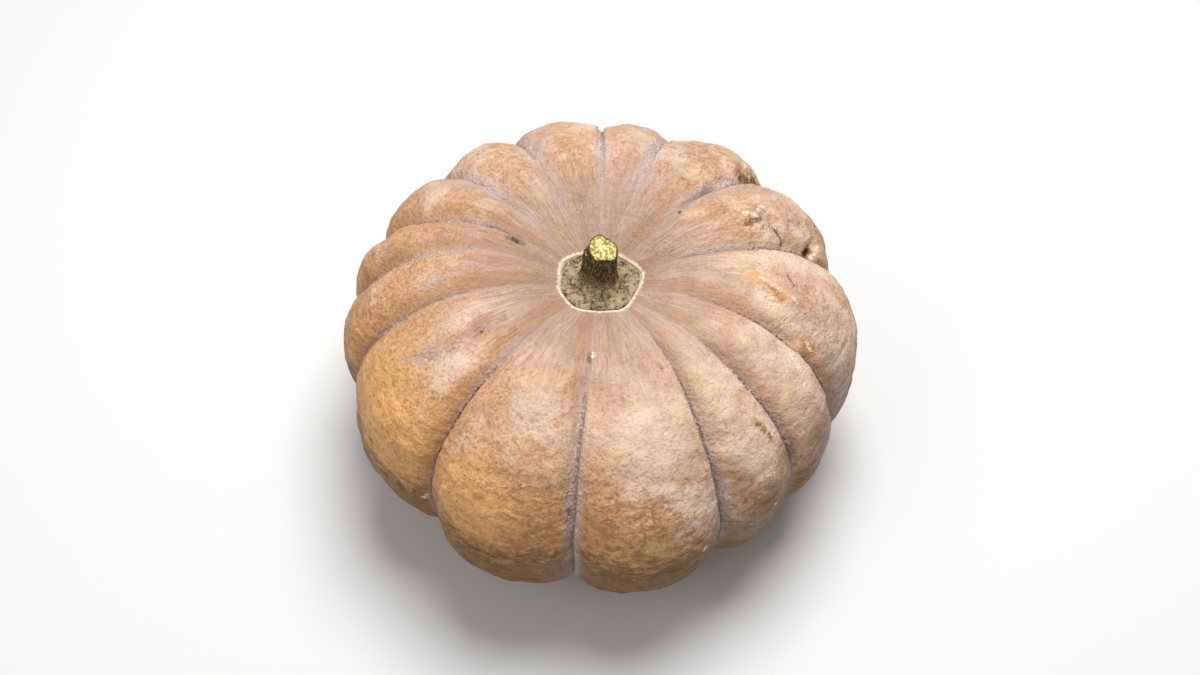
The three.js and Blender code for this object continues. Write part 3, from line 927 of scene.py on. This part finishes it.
def marked(n, p, rind, skin, colour):
    """The scars, flecks and tucks, and the heights that go with them."""
    marks = mark_group()
    ragged = n.vector("ADD", p.place, n.vector("MULTIPLY", n.wander(p.place, 1 / 3), (3.0,) * 3))
    wear = n.plus(n.swing(p.pebbles, 1.6), n.swing(p.grain, 1.6), -0.15)
    patchy = n.ramp(n.plus(n.times(p.pebbles, 0.6), n.times(p.grain, 0.4)), 0.38, 0.54, 0.35, 1.0)
    heights = []
    for name, start, end, radius, paint, strength, lift in MARKS:
        ends = {"Start": skin.spot(*start) / MM, "End": skin.spot(*end) / MM}
        mask = n.group(marks, {"Place": ragged, "Radius": radius, "Wear": wear, **ends}, name)
        mask = n.times(mask, strength, patchy)
        colour = n.mix(mask, colour, getattr(rind, paint))
        heights.append(n.times(mask, lift))
    return colour, heights


def rind_material(rind, skin):
    material, n, shader = new_material("rind")
    p = RindPatterns(n)
    colour, cover = waxed_rind(n, p, rind)
    colour = hub_streaks(n, p, rind, colour)
    colour = low_flanks(n, p, rind, colour)
    dust = seam_dust(n, p)
    slit = beaded_slit(n, p)
    colour = dusted_seams(n, p, rind, colour, dust, slit)
    specks = n.times(n.ramp(n.cells(p.place, 1 / 5.5), 0.16, 0.08), n.ramp(p.mottle, 0.5, 0.62))
    colour = n.mix(n.times(specks, 0.6), colour, rind.cream)
    colour, heights = marked(n, p, rind, skin, colour)

    # The bare cream edge round the foot of the stalk, and the scar of the blossom underneath.
    strayed = n.plus(p.lip, n.swing(p.pebbles, 2.4), n.swing(p.mottle, 3.0))
    edge = n.ramp(strayed, 3.6, 1.6)
    colour = n.mix(edge, colour, rind.cream)
    blossom = n.times(n.ramp(p.out, 0.014, 0.011), n.ramp(p.latitude, -60, -75))
    colour = n.mix(n.times(blossom, n.ramp(p.mottle, 0.35, 0.6, 0.6, 1.0)), colour, rind.umber)

    height = n.plus(
        n.times(p.rays, p.hub, 1.0),
        n.times(p.fine_rays, p.upper, 0.65),
        n.times(p.wrinkles, p.flank, 1.9),
        n.times(p.creases, p.flank, 0.8),
        n.times(p.drift, 1.2),
        n.times(p.mottle, n.plus(1.25, n.times(p.knobbly, 2.3))),
        n.times(p.pebbles, n.plus(0.64, n.times(p.knobbly, 0.8))),
        n.times(p.grain, 0.22),
        n.times(slit, -0.8),
        n.times(specks, 0.3),
        n.times(edge, 0.5),
        n.times(blossom, p.pebbles, 1.5),
        *heights,
    )
    rough = n.plus(0.44, n.times(dust, 0.35), n.times(cover, 0.16), n.times(p.grain, 0.08))
    n.join(shader.inputs["Base Color"], colour)
    n.join(shader.inputs["Roughness"], rough)
    n.join(shader.inputs["Normal"], n.bump(height))
    shader.inputs["Specular IOR Level"].default_value = 0.22
    return material


# ---- the stalk


class PUMPKIN_OT_stalk(bpy.types.Operator):
    """Makes the corky foot and the cut stub of the stalk"""

    bl_idname = "pumpkin.stalk"
    bl_label = "Stalk"

    def execute(self, context):
        stalk = context.scene.pumpkin_stalk
        core = core_of_fruit()
        piece = copy_of_node(STALK, "pumpkin_stalk")
        subdivide(piece, stalk.smoothing)
        co = points(piece)
        low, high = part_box(STALK)
        rise = (co[:, 2] - low.z) / (high.z - low.z)
        out = np.hypot(co[:, 0] - core.x, co[:, 1] - core.y)
        cut = cut_face(piece)
        rim = nearest(co[(cut > 0.05) & (cut < 0.95)], co)[1]  # how far off the rim of the cut end is
        remember(piece, {"rise": rise, "out_mm": out / MM, "cut": cut, "rim_mm": rim / MM})
        cork = clouds("cork", stalk.cork_size, 2)
        weigh(piece, "bark", ramp(co[:, 2], low.z + 0.9 * MM, low.z + 1.4 * MM) * ramp(out, 0.024, 0.021))
        displace(piece, stalk.cork_height, "bark", texture=cork, texture_coords="LOCAL", mid_level=0.6)
        select_only(piece)
        bpy.ops.object.shade_smooth()
        piece.data.materials.append(cork_material(stalk))
        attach(piece, "root")
        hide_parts(STALK)
        return {"FINISHED"}


def cut_face(piece):
    """1 on the cut end of the stub, which faces up and towards -Y, and 0 elsewhere."""
    facing = points(piece, "normal") @ np.array([0, -math.sin(CUT_SLANT), math.cos(CUT_SLANT)])
    top = points(piece)[:, 2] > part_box(STALK)[1].z - CUT_REACH
    return ramp(facing, 0.8, 0.95) * top


def cork_material(stalk):
    material, n, shader = new_material("stalk_cork")
    place = n.place()
    out = n.number("out_mm")
    rise = n.number("rise")
    cut = n.number("cut")
    rim = n.number("rim_mm")
    lumps = n.noise(place, 1 / 3.2, 5, 0.7, 0.8)
    flakes = n.noise(place, 1 / 1.5, 3, 0.6, 0.8)
    grain = n.noise(place, 1 / 0.6, 3, 0.65)
    pale = n.ramp(n.plus(n.times(lumps, 0.6), n.times(flakes, 0.4)), 0.4, 0.58)
    colour = n.mix(pale, stalk.bark, stalk.foot)
    outer = n.times(n.ramp(out, 13, 19), n.ramp(lumps, 0.42, 0.56, 0.0, 0.5))
    colour = n.mix(outer, colour, stalk.foot)
    patches = n.noise(place, 1 / 6, 3, 0.6, 0.6)
    colour = n.mix(n.times(n.ramp(patches, 0.5, 0.4), 0.35), colour, stalk.bark)
    colour = n.mix(n.times(n.ramp(patches, 0.5, 0.62), 0.4), colour, stalk.foot)
    strayed = n.plus(out, n.swing(lumps, 24.0), n.swing(flakes, 10.0))
    colour = n.mix(n.times(n.ramp(strayed, 13, 6), 0.6), colour, stalk.bark)
    stripes = n.noise(n.vector("MULTIPLY", place, (1, 1, 0.22)), 1 / 1.3, 2, 0.6, 0.6)
    stub = n.mix(n.times(n.ramp(stripes, 0.46, 0.62), 0.8), stalk.bark, stalk.moss)
    colour = n.mix(n.times(n.ramp(rise, 0.12, 0.35), n.ramp(flakes, 0.72, 0.55)), colour, stub)
    share = n.ramp(rim, 6, 1, 0.5, 0.7)
    flecks = n.group(speckle_group(), {"Place": place, "Size": 1.7, "Share": share})
    pith = n.mix(n.times(flecks, 0.8), stalk.pith, stalk.fleck)
    edge = n.ramp(n.plus(rim, n.swing(flakes, 2.0)), 1.0, 0.2)
    pith = n.mix(edge, pith, stalk.bark)
    colour = n.mix(cut, colour, pith)
    n.join(shader.inputs["Base Color"], colour)
    n.join(shader.inputs["Roughness"], n.ramp(cut, 0, 1, 0.85, 0.6))
    shader.inputs["Specular IOR Level"].default_value = 0.25
    relief = n.plus(n.times(lumps, 2.2), n.times(flakes, 0.8), n.times(grain, 0.25))
    n.join(shader.inputs["Normal"], n.bump(n.times(relief, n.ramp(cut, 0, 1, 1.0, 0.5))))
    return material


# ---- the stage


def add_area_light(name, size, power, place):
    """A soft round light that points at the pumpkin."""
    aim = Vector((0, 0, 50 * MM))
    bpy.ops.object.light_add(type="AREA", location=place)
    light = bpy.context.object
    light.name = name
    light.data.shape = "DISK"
    light.data.size = size
    light.data.energy = power
    light.rotation_euler = (aim - Vector(place)).to_track_quat("-Z", "Y").to_euler()


class PUMPKIN_OT_stage(bpy.types.Operator):
    """Sets the plain floor, the soft lights and the camera"""

    bl_idname = "pumpkin.stage"
    bl_label = "Stage"

    def execute(self, context):
        stage = context.scene.pumpkin_stage
        scene = context.scene
        core = core_of_fruit()
        bpy.ops.object.select_all(action="DESELECT")
        bpy.ops.mesh.primitive_plane_add(size=stage.floor_size, location=(0, 0, 0))
        floor = context.object
        floor.name = "floor"
        paint, _, shader = new_material("floor_paint")
        shader.inputs["Base Color"].default_value = (*stage.floor, 1)
        shader.inputs["Roughness"].default_value = 0.8
        floor.data.materials.append(paint)

        middle = Vector((core.x, core.y, WAIST))
        away = Vector((0, -math.cos(stage.elevation), math.sin(stage.elevation)))
        bpy.ops.object.camera_add(location=middle + away * stage.distance)
        camera = context.object
        camera.name = "camera"
        camera.data.lens = stage.lens
        camera.data.sensor_width = 36
        aim = middle + Vector((0, 0, stage.aim_height)) - camera.location
        camera.rotation_euler = aim.to_track_quat("-Z", "Y").to_euler()
        scene.camera = camera

        add_area_light("key_light", 1.0, stage.key_power, (0.18, 0.45, 1.65))
        add_area_light("fill_light", 1.6, stage.fill_power, (-1.4, -0.9, 1.2))
        world = bpy.data.worlds.new("soft_sky")
        world.use_nodes = True
        background = world.node_tree.nodes["Background"]
        background.inputs["Color"].default_value = (1, 1, 1, 1)
        background.inputs["Strength"].default_value = stage.sky
        scene.world = world
        scene.view_settings.view_transform = "Standard"
        return {"FINISHED"}


# ---- panel and running


class PUMPKIN_PT_panel(bpy.types.Panel):
    """Lists the steps that make the pumpkin."""

    bl_idname = "PUMPKIN_PT_panel"
    bl_label = "Muscat pumpkin"
    bl_space_type = "VIEW_3D"
    bl_region_type = "UI"
    bl_category = "Pumpkin"

    def draw(self, context):
        for operator in (PUMPKIN_OT_fruit, PUMPKIN_OT_stalk, PUMPKIN_OT_stage):
            self.layout.operator(operator.bl_idname)
        scene = context.scene
        for settings in (scene.pumpkin_rind, scene.pumpkin_stalk, scene.pumpkin_stage):
            box = self.layout.box()
            for name in settings.__annotations__:
                box.prop(settings, name)


CLASSES = (
    RindSettings,
    StalkSettings,
    StageSettings,
    PUMPKIN_OT_fruit,
    PUMPKIN_OT_stalk,
    PUMPKIN_OT_stage,
    PUMPKIN_PT_panel,
)


def register():
    for cls in CLASSES:
        bpy.utils.register_class(cls)
    bpy.types.Scene.pumpkin_rind = PointerProperty(type=RindSettings)
    bpy.types.Scene.pumpkin_stalk = PointerProperty(type=StalkSettings)
    bpy.types.Scene.pumpkin_stage = PointerProperty(type=StageSettings)


def unregister():
    del bpy.types.Scene.pumpkin_stage
    del bpy.types.Scene.pumpkin_stalk
    del bpy.types.Scene.pumpkin_rind
    for cls in reversed(CLASSES):
        bpy.utils.unregister_class(cls)


def main():
    register()
    bpy.ops.pumpkin.fruit()
    bpy.ops.pumpkin.stalk()
    bpy.ops.pumpkin.stage()


if __name__ == "__main__":
    main()
